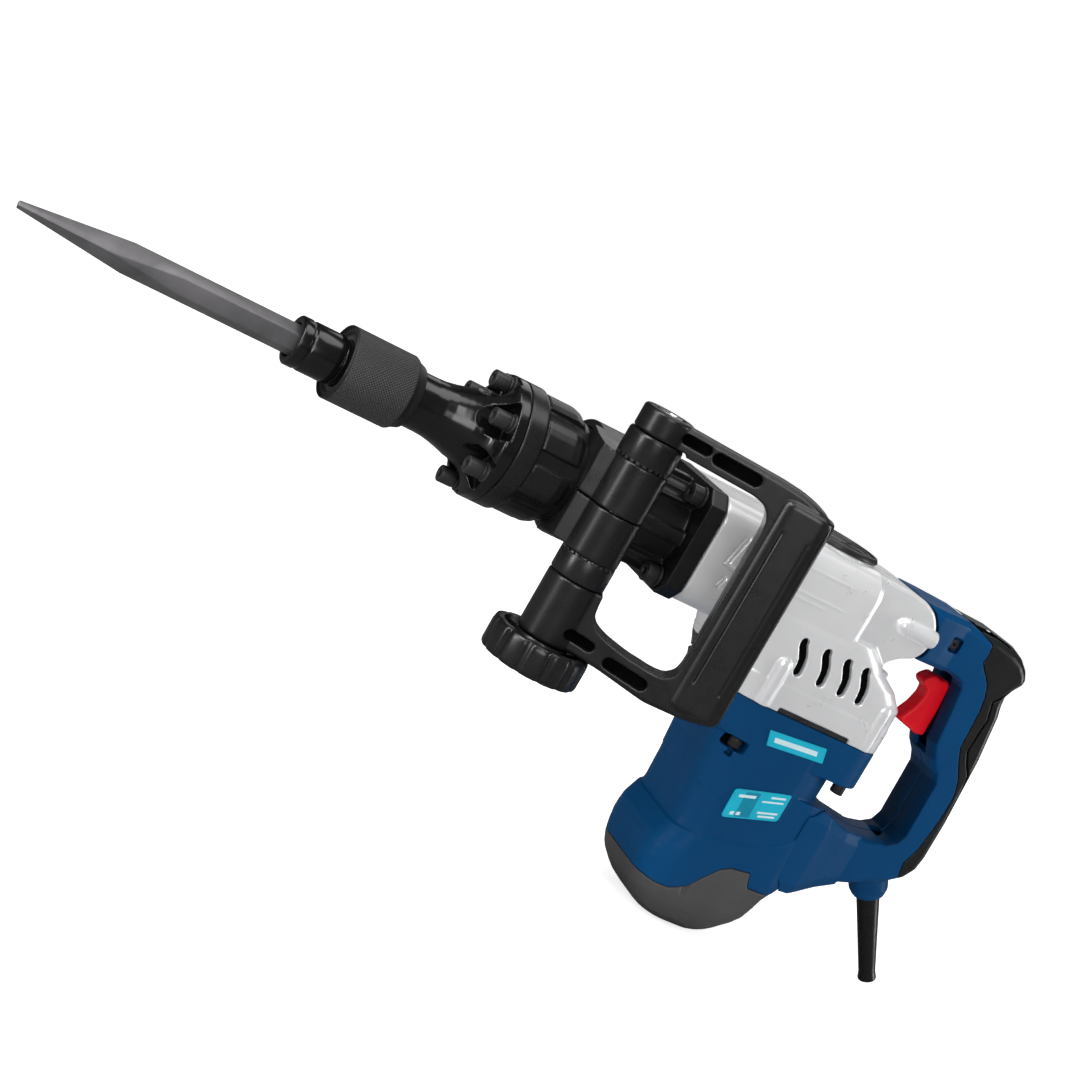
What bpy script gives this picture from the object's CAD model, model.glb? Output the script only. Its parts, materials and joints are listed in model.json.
"""Looks of an electric jackhammer: surface pieces and procedural materials on its CAD frame.

Station coordinates are millimetres: x = 0 is the seam between front cover and
hammer case, z = 0 the hammer axis, y = 0 the mid-plane, +X rearwards, +Z up and
-Y the tool's left.  place() turns a station point into scene metres, with the
motor axis at x = 0 and z = 0 at AXIS_Z below the hammer axis.
"""

import json
import math

import bmesh
import bpy
from mathutils import Matrix, Vector


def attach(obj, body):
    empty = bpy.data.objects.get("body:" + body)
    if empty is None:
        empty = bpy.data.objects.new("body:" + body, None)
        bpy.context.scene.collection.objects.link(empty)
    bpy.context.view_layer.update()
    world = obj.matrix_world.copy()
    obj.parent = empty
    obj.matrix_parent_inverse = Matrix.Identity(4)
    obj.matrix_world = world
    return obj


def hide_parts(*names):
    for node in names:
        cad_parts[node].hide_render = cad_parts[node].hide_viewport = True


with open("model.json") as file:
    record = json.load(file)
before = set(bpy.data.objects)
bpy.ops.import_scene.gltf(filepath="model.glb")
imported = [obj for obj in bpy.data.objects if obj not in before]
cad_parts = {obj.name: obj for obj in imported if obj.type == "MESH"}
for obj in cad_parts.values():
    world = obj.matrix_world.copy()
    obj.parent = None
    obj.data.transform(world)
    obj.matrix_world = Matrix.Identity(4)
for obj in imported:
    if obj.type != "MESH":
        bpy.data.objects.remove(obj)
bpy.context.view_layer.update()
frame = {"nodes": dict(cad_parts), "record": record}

BODY = {n: b for b, ns in frame["record"]["behaviour"]["bodies"].items() for n in ns}
SLOT = {s["node"]: s["material_slot"] for s in frame["record"]["subparts"]}

MM = 0.001
MOTOR_X, AXIS_Z = 274.0, 232.0          # motor axis; height of the hammer axis
CRANK_X = 240.0
HEX_FLATS = 17.0                        # chisel shank, across flats
CHISEL_TIP_X, CHISEL_END_X = -317.0, -38.0
PIVOT_X, PIVOT_Y = 71.0, -47.0          # clamp bolt, about which the side handle swings
SWING_REST = 22.0                       # side handle's rest angle, degrees
STACK_R = 18.0                          # round pieces stacked on the clamp bolt
KNOB_R = 32.5
HALF_W = 45.0                           # motor housing, half width
SPLIT_Z = -70.0                         # seam between gear and motor housings
GAP = 0.3                               # seam between front cover and hammer case
FRONT_BOLT_CIRCLE = 33.0
FRONT_BOLT_ANGLES = (90, 30, -30, -90, -150, 150)
CASE_BOLT_AT = 28.0
MOTOR_BOLTS = ((230.0, 38.2, -97.0), (316.0, 36.5, -97.6))    # x, distance from y = 0, seat z
FACETS = 1.7          # factor on the steps of turned pieces
VOXEL = 1.0           # factor on the voxel size of cast pieces

# An axis to turn about, then the two directions across it.
ALONG_X = Vector((1, 0, 0)), Vector((0, 1, 0)), Vector((0, 0, 1))
ALONG_Y = Vector((0, 1, 0)), Vector((0, 0, 1)), Vector((1, 0, 0))
ALONG_Z = Vector((0, 0, 1)), Vector((1, 0, 0)), Vector((0, 1, 0))
CLAMP, CRANK, MOTOR = (PIVOT_X, PIVOT_Y, 0), (CRANK_X, 0, 0), (MOTOR_X, 0, 0)
SIDES = (("left", -1), ("right", 1))    # name, sign of y


# ------------------------------------------------------------------ shader nodes
def feed(tree, socket, value):
    """Links a socket to an output, or sets it to a number or a colour."""
    if isinstance(value, bpy.types.NodeSocket):
        tree.links.new(value, socket)
    elif isinstance(value, tuple):
        socket.default_value = (*value, 1.0)
    else:
        socket.default_value = value


def mix_color(tree, factor, first, second):
    node = tree.nodes.new("ShaderNodeMix")
    node.data_type = "RGBA"
    feed(tree, node.inputs[0], factor)
    feed(tree, node.inputs[6], first)
    feed(tree, node.inputs[7], second)
    return node.outputs[2]


def noise(tree, vector, scale, *, detail, rough, distortion=0.0):
    node = tree.nodes.new("ShaderNodeTexNoise")
    node.inputs["Scale"].default_value = scale
    node.inputs["Detail"].default_value = detail
    node.inputs["Roughness"].default_value = rough
    node.inputs["Distortion"].default_value = distortion
    tree.links.new(vector, node.inputs["Vector"])
    return node.outputs["Fac"]


def span(tree, value, source, target=(0.0, 1.0)):
    """value mapped from the source range to the target range, clamped."""
    node = tree.nodes.new("ShaderNodeMapRange")
    tree.links.new(value, node.inputs["Value"])
    names = ("From Min", "From Max", "To Min", "To Max")
    for name, limit in zip(names, (*source, *target)):
        node.inputs[name].default_value = limit
    return node.outputs["Result"]


def maths(tree, operation, *operands):
    node = tree.nodes.new("ShaderNodeMath")
    node.operation = operation
    for socket, value in zip(node.inputs, operands):
        feed(tree, socket, value)
    return node.outputs[0]


def stretched(tree, vector, scale):
    node = tree.nodes.new("ShaderNodeMapping")
    node.inputs["Scale"].default_value = scale
    tree.links.new(vector, node.inputs["Vector"])
    return node.outputs["Vector"]


def bumped(tree, strength, distance):
    node = tree.nodes.new("ShaderNodeBump")
    node.inputs["Strength"].default_value = strength
    node.inputs["Distance"].default_value = distance
    return node


# ------------------------------------------------------------------ materials
def grey(value):
    return (value,) * 3


def scaled(color, factor):
    return tuple(c * factor for c in color)


def surface(name, color, *, metallic=0.0, rough, rough_var=0.07, tone, tone_scale, grain,
            grain_height=0.00006, grain_strength=0.35, brushed=None, wear=None, wear_at=0.56,
            dust=0.0, shadow=None, spec=0.5, coat=0.0, pattern=None, pattern_height=0.0,
            pattern_tint=None):
    """Mottled material with fine grain.

    tone        share by which the mottling lightens and darkens the colour
    brushed     stretch of the grain
    wear        colour of rubbed edges, from pointiness wear_at upwards
    dust        darkening of hollows
    shadow      direction; faces turned that way are darkened
    pattern     function giving a second relief, with its height and tint
    """
    mat = bpy.data.materials.new(name)
    mat.use_nodes = True
    mat.diffuse_color = (*color, 1.0)
    tree = mat.node_tree
    bsdf = tree.nodes.get("Principled BSDF")
    coords = tree.nodes.new("ShaderNodeTexCoord").outputs["Object"]

    # broad clouds and small specks
    low = scaled(color, 1 - tone)
    high = tuple(min(1.0, c * (1 + tone)) for c in color)
    cloud = noise(tree, coords, tone_scale, detail=5.0, rough=0.6, distortion=0.4)
    shade = mix_color(tree, span(tree, cloud, (0.32, 0.68)), low, high)
    speck = noise(tree, coords, tone_scale * 26, detail=3.0, rough=0.7)
    shade = mix_color(tree, span(tree, speck, (0.56, 0.72), (0.0, 0.22)), shade, low)

    geometry = tree.nodes.new("ShaderNodeNewGeometry")
    pointiness = geometry.outputs["Pointiness"]
    if wear is not None:
        edge = span(tree, pointiness, (wear_at, wear_at + 0.07))
        ragged = noise(tree, coords, 160.0, detail=6.0, rough=0.7)
        ragged = span(tree, ragged, (0.38, 0.62), (0.0, 0.75))
        shade = mix_color(tree, maths(tree, "MULTIPLY", edge, ragged), shade, wear)
    if dust:
        hollow = span(tree, pointiness, (0.47, 0.40), (0.0, dust))
        shade = mix_color(tree, hollow, shade, scaled(color, 0.35))
    if shadow is not None:
        facing = tree.nodes.new("ShaderNodeVectorMath")
        facing.operation = "DOT_PRODUCT"
        tree.links.new(geometry.outputs["True Normal"], facing.inputs[0])
        facing.inputs[1].default_value = shadow
        deep = span(tree, facing.outputs["Value"], (0.45, 0.8), (0.0, 0.72))
        shade = mix_color(tree, deep, shade, scaled(color, 0.12))

    smear = noise(tree, coords, 55.0, detail=5.0, rough=0.65, distortion=0.6)
    tree.links.new(span(tree, smear, (0.3, 0.7), (max(0.02, rough - rough_var),
                                                  rough + rough_var)), bsdf.inputs["Roughness"])
    bsdf.inputs["Metallic"].default_value = metallic
    bsdf.inputs["Specular IOR Level"].default_value = spec
    bsdf.inputs["Coat Weight"].default_value = coat
    bsdf.inputs["Coat Roughness"].default_value = 0.12

    grain_coords = coords if brushed is None else stretched(tree, coords, brushed)
    height = noise(tree, grain_coords, grain, detail=3.0, rough=0.6)
    bump = bumped(tree, grain_strength, grain_height)
    tree.links.new(height, bump.inputs["Height"])
    if pattern is not None:
        second = bumped(tree, 1.0, pattern_height)
        relief = pattern(tree, coords)
        if pattern_tint is not None:
            shade = mix_color(tree, span(tree, relief, (0.05, 0.6)), shade, pattern_tint)
        tree.links.new(relief, second.inputs["Height"])
        tree.links.new(bump.outputs["Normal"], second.inputs["Normal"])
        bump = second
    tree.links.new(shade, bsdf.inputs["Base Color"])
    tree.links.new(bump.outputs["Normal"], bsdf.inputs["Normal"])
    return mat


def knurl(tree, coords):
    """Diamond knurling round the object's own x axis, fading out near both ends."""
    split = tree.nodes.new("ShaderNodeSeparateXYZ")
    tree.links.new(coords, split.inputs[0])
    angle = maths(tree, "ARCTAN2", split.outputs[1], split.outputs[2])
    turn = maths(tree, "MULTIPLY", angle, 36.0)
    along = maths(tree, "MULTIPLY", split.outputs[0], 1570.0)
    right_hand, left_hand = (
        maths(tree, "ABSOLUTE", maths(tree, "SINE", maths(tree, operation, turn, along)))
        for operation in ("ADD", "SUBTRACT"))
    diamonds = maths(tree, "POWER", maths(tree, "MULTIPLY", right_hand, left_hand), 0.6)
    inside = maths(tree, "MULTIPLY", span(tree, split.outputs[0], (0.0015, 0.0025)),
                   span(tree, split.outputs[0], (0.0425, 0.0435), (1.0, 0.0)))
    return maths(tree, "MULTIPLY", diamonds, inside)


def pebbles(tree, coords):
    """Fine pebbled rubber texture."""
    node = tree.nodes.new("ShaderNodeTexVoronoi")
    node.inputs["Scale"].default_value = 900.0
    tree.links.new(coords, node.inputs["Vector"])
    return node.outputs["Distance"]


STEEL = surface("look_tool_steel", (0.165, 0.16, 0.166), metallic=0.7, rough=0.45, rough_var=0.1,
                tone=0.22, tone_scale=30, grain=420, grain_height=0.00012, brushed=(0.25, 1, 1),
                wear=(0.42, 0.41, 0.42), wear_at=0.53)
BLACK = surface("look_black_cast", (0.0075, 0.0075, 0.008), rough=0.30, rough_var=0.06,
                tone=0.2, tone_scale=12, grain=850, grain_height=0.00004,
                wear=(0.06, 0.06, 0.062), wear_at=0.57, dust=0.5)
GLOSS = surface("look_black_gloss", (0.0035, 0.0035, 0.004), rough=0.19, rough_var=0.05,
                tone=0.1, tone_scale=16, grain=300, grain_height=0.00004, grain_strength=0.2,
                wear=(0.09, 0.09, 0.092), wear_at=0.58, coat=0.35, spec=0.4)
OXIDE = surface("look_black_oxide", (0.05, 0.05, 0.052), metallic=0.55, rough=0.4,
                tone=0.2, tone_scale=60, grain=1500, grain_height=0.00003,
                wear=(0.16, 0.16, 0.165), wear_at=0.54)
KNURL = surface("look_knurled", (0.016, 0.016, 0.017), metallic=0.3, rough=0.48,
                tone=0.12, tone_scale=30, grain=1500, grain_height=0.00003,
                wear=(0.12, 0.12, 0.122), pattern=knurl, pattern_height=0.0005,
                pattern_tint=(0.06, 0.06, 0.062))
SILVER = surface("look_cast_aluminium", (0.86, 0.863, 0.872), metallic=0.38, rough=0.32,
                 rough_var=0.06, tone=0.06, tone_scale=9, grain=1100, grain_height=0.00003,
                 grain_strength=0.25, wear=(0.84, 0.84, 0.85), wear_at=0.55, dust=0.35)
BLUE_MOULDING = dict(color=(0.0002, 0.052, 0.158), rough=0.42, rough_var=0.06, tone=0.09,
                     tone_scale=7, grain=1500, grain_height=0.00004, wear=(0.006, 0.11, 0.32),
                     wear_at=0.57, dust=0.5, spec=0.1)
BLUE = surface("look_blue_plastic", **BLUE_MOULDING)
BLUE_GRIP = surface("look_blue_grip", **BLUE_MOULDING, shadow=(-0.94, 0.0, 0.34))
GREY = surface("look_graphite_plastic", (0.068, 0.066, 0.067), rough=0.46, tone=0.12,
               tone_scale=14, grain=1300, wear=grey(0.09), wear_at=0.57, dust=0.4)
PLASTIC = surface("look_black_plastic", (0.012, 0.012, 0.0125), rough=0.36, tone=0.12,
                  tone_scale=18, grain=1300, grain_height=0.00005, wear=grey(0.06),
                  wear_at=0.57, dust=0.4)
RUBBER = surface("look_black_rubber", grey(0.009), rough=0.33, tone=0.15, tone_scale=18,
                 grain=900, grain_height=0.00005, wear=grey(0.05), wear_at=0.57, dust=0.4,
                 pattern=pebbles, pattern_height=0.00005)
CORD = surface("look_cord_rubber", grey(0.006), rough=0.3, tone=0.12, tone_scale=20,
               grain=700, grain_height=0.00004, wear=grey(0.04), wear_at=0.58)
RED = surface("look_red_plastic", (0.80, 0.0045, 0.016), rough=0.32, tone=0.09, tone_scale=40,
              grain=1500, grain_height=0.00003, wear=(0.75, 0.08, 0.08), wear_at=0.58, dust=0.4,
              spec=0.28)
FILM = dict(grain=1800, grain_height=0.00001)
PLATE = surface("look_plate_film", (0.008, 0.43, 0.60), rough=0.34, tone=0.07, tone_scale=40,
                spec=0.25, **FILM)
PLATE_DARK = surface("look_plate_band", (0.004, 0.24, 0.37), rough=0.34, tone=0.07,
                     tone_scale=40, spec=0.25, **FILM)
PLATE_PALE = surface("look_plate_bars", (0.62, 0.80, 0.84), rough=0.35, tone=0.06,
                     tone_scale=60, **FILM)
BRIGHT = surface("look_ground_steel", (0.55, 0.55, 0.565), metallic=1.0, rough=0.24,
                 rough_var=0.06, tone=0.08, tone_scale=40, grain=700, grain_height=0.00002,
                 brushed=(0.12, 1, 1), wear=grey(0.8))
COPPER = surface("look_copper", (0.62, 0.25, 0.12), metallic=1.0, rough=0.36, tone=0.14,
                 tone_scale=60, grain=900, grain_height=0.00008, wear=(0.85, 0.5, 0.35), dust=0.5)
BRASS = surface("look_brass", (0.58, 0.42, 0.14), metallic=1.0, rough=0.32, tone=0.12,
                tone_scale=50, grain=1100, grain_height=0.00003, wear=(0.8, 0.66, 0.36))
CARBON = surface("look_carbon", (0.03, 0.03, 0.032), metallic=0.1, rough=0.62, tone=0.25,
                 tone_scale=90, grain=1600, wear=grey(0.09))
DARK = surface("look_recess", (0.0015, 0.0015, 0.0016), rough=0.75, tone=0.1, tone_scale=40,
               grain=900, grain_height=0.00003, spec=0.06)

LOOK = {"tool_steel": STEEL, "black_cast": BLACK, "black_gloss": GLOSS, "black_oxide": OXIDE,
        "cast_aluminium": SILVER, "blue_plastic": BLUE, "graphite_plastic": GREY,
        "black_plastic": PLASTIC, "black_rubber": RUBBER, "red_plastic": RED,
        "ground_steel": BRIGHT, "copper": COPPER, "brass": BRASS, "carbon": CARBON}
for node, obj in frame["nodes"].items():
    obj.data.materials.clear()
    obj.data.materials.append(LOOK[SLOT[node]])


# ------------------------------------------------------------------ outlines
def polar(radius, degrees):
    return radius * math.cos(math.radians(degrees)), radius * math.sin(math.radians(degrees))


def corner(point, before, after, reach, steps):
    """Curve round a corner; before and after lead from it to its neighbours."""
    start, end = point + before.normalized() * reach, point + after.normalized() * reach
    return [tuple((1 - t) ** 2 * start + 2 * t * (1 - t) * point + t * t * end)
            for t in (j / steps for j in range(steps + 1))]


def softened(profile, radius=0.6, steps=2, closed=True):
    """A turned profile with its corners rounded by about radius."""
    points = [Vector(p) for p in profile]
    count = len(points)
    out = []
    for i, point in enumerate(points):
        before, after = points[i - 1] - point, points[(i + 1) % count] - point
        is_end = not closed and i in (0, count - 1)
        if is_end or before.normalized().dot(after.normalized()) < -0.985:
            out.append(tuple(point))
            continue
        reach = min(radius, 0.4 * before.length, 0.4 * after.length)
        out += corner(point, before, after, reach, steps)
    return out


def rounded(points, radius, steps=5):
    out = []
    for i in range(len(points)):
        point = Vector(points[i])
        before = Vector(points[i - 1]) - point
        after = Vector(points[(i + 1) % len(points)]) - point
        reach = min(radius, 0.45 * before.length, 0.45 * after.length)
        out += corner(point, before, after, reach, steps)
    return out


def inset(points, depth):
    """A counter-clockwise outline moved inwards by depth."""
    out = []
    for i in range(len(points)):
        before, point, after = (Vector(points[i - 1]), Vector(points[i]),
                                Vector(points[(i + 1) % len(points)]))
        edge_in, edge_out = (point - before).normalized(), (after - point).normalized()
        normal = Vector((-edge_in.y, edge_in.x))
        middle = (normal + Vector((-edge_out.y, edge_out.x))).normalized()
        out.append(tuple(point + middle * (depth / max(0.35, middle.dot(normal)))))
    return out


def round_rect(left, right, low, high, radius, steps=8):
    points = []
    for a, b, start in ((right - radius, high - radius, 0), (left + radius, high - radius, 90),
                        (left + radius, low + radius, 180), (right - radius, low + radius, 270)):
        for i in range(steps + 1):
            turn = math.radians(start + 90.0 * i / steps)
            points.append((a + radius * math.cos(turn), b + radius * math.sin(turn)))
    return points


def hexagon(flats, phase=0.5):
    radius = flats / math.sqrt(3)
    return [(radius * math.cos(2 * math.pi * (i + phase) / 6),
             radius * math.sin(2 * math.pi * (i + phase) / 6)) for i in range(6)]


def tilted(points, centre_a, centre_b, degrees):
    cosine, sine = math.cos(math.radians(degrees)), math.sin(math.radians(degrees))
    return [(centre_a + a * cosine - b * sine, centre_b + a * sine + b * cosine)
            for a, b in points]


def slot(centre_a, centre_b, length, radius, degrees=0.0):
    half = length / 2 - radius
    points = []
    for side, start in ((1, -90), (-1, 90)):
        for i in range(9):
            turn = math.radians(start + 180.0 * i / 8)
            points.append((side * half + radius * math.cos(turn), radius * math.sin(turn)))
    return tilted(points, centre_a, centre_b, degrees)


def ribbon(line, radius):
    """Outline of a band of half width radius along a polyline, with round ends."""
    points = [Vector(p) for p in line]
    normals = []
    for i in range(len(points)):
        way = (points[min(i + 1, len(points) - 1)] - points[max(i - 1, 0)]).normalized()
        normals.append(Vector((-way.y, way.x)))

    def cap(end, before):
        way = (end - before).normalized()
        start = math.atan2(way.y, way.x) - math.pi / 2
        return [(end.x + radius * math.cos(start + math.pi * k / 6),
                 end.y + radius * math.sin(start + math.pi * k / 6)) for k in range(1, 6)]

    pairs = list(zip(points, normals))
    return ([tuple(p - normal * radius) for p, normal in pairs] + cap(points[-1], points[-2])
            + [tuple(p + normal * radius) for p, normal in reversed(pairs)]
            + cap(points[0], points[1]))


# ------------------------------------------------------------------ solids
def place(x, y, z):
    return Vector(((x - MOTOR_X) * MM, y * MM, (z + AXIS_Z) * MM))


def crisp(obj, angle=32.0):
    obj.data.shade_smooth()
    obj.data.set_sharp_from_angle(angle=math.radians(angle))
    return obj


def to_object(name, shape, mat, origin=None):
    """Scene object from a bmesh in station millimetres."""
    bmesh.ops.recalc_face_normals(shape, faces=shape.faces)
    at = place(*origin) if origin else Vector((0.0, 0.0, 0.0))
    for v in shape.verts:
        v.co = place(*v.co) - at
    mesh = bpy.data.meshes.new(name)
    shape.to_mesh(mesh)
    shape.free()
    mesh.materials.append(mat)
    obj = crisp(bpy.data.objects.new(name, mesh))
    obj.location = at
    bpy.context.scene.collection.objects.link(obj)
    return obj


def turned(profile, centre=(0, 0, 0), axis=ALONG_X, steps=32, closed=False, phase=0.0):
    """Solid turned from (distance along the axis, radius) pairs; closed makes it a ring."""
    along, across, up = axis
    steps = max(16, round(steps * FACETS))
    base = Vector(centre)
    shape = bmesh.new()
    rings = []
    for t, radius in profile:
        if radius <= 1e-6:
            rings.append([shape.verts.new(base + along * t)])
        else:
            rings.append([shape.verts.new(
                base + along * t
                + across * (radius * math.cos(2 * math.pi * (i + phase) / steps))
                + up * (radius * math.sin(2 * math.pi * (i + phase) / steps)))
                for i in range(steps)])
    pairs = list(zip(rings, rings[1:]))
    if closed:
        pairs.append((rings[-1], rings[0]))
    for first, second in pairs:
        for i in range(steps):
            j = (i + 1) % steps
            if len(first) == 1:
                shape.faces.new((first[0], second[j], second[i]))
            elif len(second) == 1:
                shape.faces.new((first[i], first[j], second[0]))
            else:
                shape.faces.new((first[i], first[j], second[j], second[i]))
    if not closed:
        for ring in (rings[0], rings[-1]):
            if len(ring) > 1:
                shape.faces.new(ring)
    return shape


def rod(start, end, radius, centre=(0, 0, 0), axis=ALONG_X, steps=32, phase=0.0):
    return turned([(start, radius), (end, radius)], centre, axis, steps, phase=phase)


def about_clamp(profile, steps, closed=False):
    return turned(profile, CLAMP, ALONG_Z, steps, closed)


def loft(loops):
    shape = bmesh.new()
    rings = [[shape.verts.new(Vector(p)) for p in loop] for loop in loops]
    count = len(rings[0])
    for first, second in zip(rings, rings[1:]):
        for i in range(count):
            j = (i + 1) % count
            shape.faces.new((first[i], first[j], second[j], second[i]))
    shape.faces.new(rings[0])
    shape.faces.new(list(reversed(rings[-1])))
    return shape


def prism(outline, low, high, plane="XZ"):
    """Outline in the named plane, drawn out from low to high along the third axis."""
    def at(level):
        if plane == "XZ":
            return [(a, level, b) for a, b in outline]
        if plane == "XY":
            return [(a, b, level) for a, b in outline]
        return [(level, a, b) for a, b in outline]
    return loft([at(low), at(high)])


def flank(outline, sign, near, far):
    """XZ outline drawn out between two distances from the mid-plane, on one side."""
    return prism(outline, *sorted((sign * near, sign * far)))


def box(x0, x1, y0, y1, z0, z1):
    return prism([(x0, z0), (x1, z0), (x1, z1), (x0, z1)], y0, y1)


def shell_section(z, x0, x1, half, radius=22.0):
    return [(x, y, z) for x, y in round_rect(x0, x1, -half, half, radius, 10)]


def shell_loft(rows):
    """Loft upright or downwards through rows of z, front x, rear x, half width[, corner]."""
    return loft([shell_section(*row) for row in rows])


def spoke(centre, degrees, inner, outer, half_width, low, high):
    """Upright rib running outwards from a centre."""
    turn = math.radians(degrees)
    side = Vector((-math.sin(turn), math.cos(turn))) * half_width
    outline = []
    for reach, sign in ((inner, -1), (outer, -1), (outer, 1), (inner, 1)):
        x, y = polar(reach, degrees)
        outline.append((centre[0] + x + sign * side.x, centre[1] + y + sign * side.y))
    return prism(outline, low, high, "XY")


def bake(obj):
    """Replaces the mesh by what its modifiers make of it."""
    bpy.context.view_layer.update()
    graph = bpy.context.evaluated_depsgraph_get()
    mesh = bpy.data.meshes.new_from_object(obj.evaluated_get(graph))
    obj.modifiers.clear()
    before, obj.data = obj.data, mesh
    bpy.data.meshes.remove(before)
    return obj


def boolean(obj, tool, operation):
    """Applies one boolean and removes the tool object."""
    mod = obj.modifiers.new("boolean", "BOOLEAN")
    mod.operation = operation
    mod.object = tool
    bake(obj)
    bpy.data.objects.remove(tool, do_unlink=True)


def combine(obj, shapes, operation):
    for shape in shapes:
        boolean(obj, to_object("cutter", shape, obj.data.materials[0]), operation)
        clean = bmesh.new()
        clean.from_mesh(obj.data)
        bmesh.ops.remove_doubles(clean, verts=clean.verts, dist=2e-6)
        bmesh.ops.dissolve_degenerate(clean, edges=clean.edges, dist=1e-6)
        clean.to_mesh(obj.data)
        clean.free()
    crisp(obj)


def cut(obj, *shapes):
    combine(obj, shapes, "DIFFERENCE")


def add(obj, *shapes):
    combine(obj, shapes, "UNION")


def keep(obj, *shapes):
    combine(obj, shapes, "INTERSECT")


def bevel(obj, *, width, segments, angle):
    mod = obj.modifiers.new("bevel", "BEVEL")
    mod.width = width * MM
    mod.segments = segments
    mod.limit_method = "ANGLE"
    mod.angle_limit = math.radians(angle)
    mod.use_clamp_overlap = True
    bake(obj)
    crisp(obj, 50)


def cast(obj, *, voxel, passes):
    """Gives a joined solid the soft edges of a casting or a moulding."""
    mod = obj.modifiers.new("voxel", "REMESH")
    mod.mode = "VOXEL"
    mod.voxel_size = voxel * VOXEL * MM
    mod.adaptivity = 0.0
    mod = obj.modifiers.new("smooth", "SMOOTH")
    mod.factor = 0.5
    mod.iterations = passes
    bake(obj)
    obj.data.shade_smooth()


def stand_for(obj, node):
    """obj is what is seen of this CAD node."""
    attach(obj, BODY[node])
    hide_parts(node)


def extra(obj, body):
    """obj is a detail without a CAD node of its own."""
    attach(obj, body)


# ------------------------------------------------------------------ chisel
def point_ring(x):
    """Square section of the tapered point, corners up, down and sideways."""
    reach = 2.6 + (x - CHISEL_TIP_X) * 0.108
    return [(x, 0, reach), (x, -reach, 0), (x, 0, -reach), (x, reach, 0)]


chisel = to_object("vis_chisel", prism(hexagon(HEX_FLATS), CHISEL_TIP_X, CHISEL_END_X, "YZ"),
                   STEEL, origin=(CHISEL_TIP_X, 0, 0))
keep(chisel, loft([point_ring(CHISEL_TIP_X), point_ring(CHISEL_END_X + 20)]))
cut(chisel, box(-106.5, -85.5, -12.5, 11.7, 6.6, 14))    # notch in the top
bevel(chisel, width=0.55, segments=3, angle=20)
stand_for(chisel, "chisel")

# ------------------------------------------------------------------ nose cap
COVER_BORE = 12.6    # radius of the front cover's bore and the nose cap's recess
nose = to_object("vis_nose_cap", turned(softened([
    (-142.0, 10.9), (-142.0, 14.7), (-141.2, 15.5), (-135.4, 15.5), (-134.9, 14.8), (-133.2, 14.8),
    (-132.7, 15.5), (-113.2, 15.5), (-113.2, COVER_BORE), (-138.0, COVER_BORE), (-138.0, 10.9)],
    0.4), closed=True, steps=56), GLOSS, origin=(-142, 0, 0))
stand_for(nose, "nose_cap")

# ------------------------------------------------------------------ knurled sleeve
sleeve = to_object("vis_retainer_sleeve", turned(softened([
    (-108.8, 14.9), (-108.8, 18.3), (-110.6, 18.9), (-110.6, 20.3), (-109.0, 20.7),
    (-109.0, 21.9), (-111.6, 22.3), (-112.0, 22.9), (-111.4, 23.5), (-68.9, 23.5), (-67.6, 22.8),
    (-66.0, 21.5), (-61.6, 20.0), (-61.0, 19.2), (-61.0, 18.0), (-70.5, 18.0), (-70.5, 20.0),
    (-101.5, 20.0), (-101.5, 14.9)], 0.35), closed=True, steps=72), KNURL, origin=(-112, 0, 0))
stand_for(sleeve, "retainer_sleeve")

# ------------------------------------------------------------------ front cover
cover = to_object("vis_front_cover", turned([
    (-112.6, COVER_BORE), (-112.6, 14.2), (-112.3, 14.5), (-72.0, 14.5), (-72.0, 17.1),
    (-71.5, 17.6), (-50.0, 17.6), (-44.0, 18.0), (-38.0, 19.0), (-33.0, 20.2), (-28.0, 21.6),
    (-24.0, 23.0), (-20.0, 25.0), (-17.0, 27.0), (-14.6, 29.4), (-12.8, 31.8), (-11.4, 34.4),
    (-10.2, 37.4), (-9.3, 39.2), (-8.6, 39.9), (-GAP / 2, 40.0), (-GAP / 2, 14.5),
    (-27.0, 14.5), (-27.0, COVER_BORE)], closed=True, steps=60), GLOSS)
# bolt pocket: distance from the axis, half width
POCKET = [(22.2, 6.0), (23.6, 9.4), (27.6, 10.9), (33.0, 11.8), (44.0, 13.4), (60.0, 16.0)]
POCKET += [(out, -across) for out, across in reversed(POCKET)]
for angle in FRONT_BOLT_ANGLES:
    cosine, sine = polar(1.0, angle)
    cut(cover, prism([(cosine * out - sine * across, sine * out + cosine * across)
                      for out, across in POCKET], -48.0, -7.0, "YZ"))
cut(cover, rod(-160, 10, COVER_BORE, steps=48, phase=0.3),
    box(-95.2, -84.8, -9.6, 9.6, 3.0, 20))
cast(cover, voxel=0.55, passes=3)
stand_for(cover, "front_cover")


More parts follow.
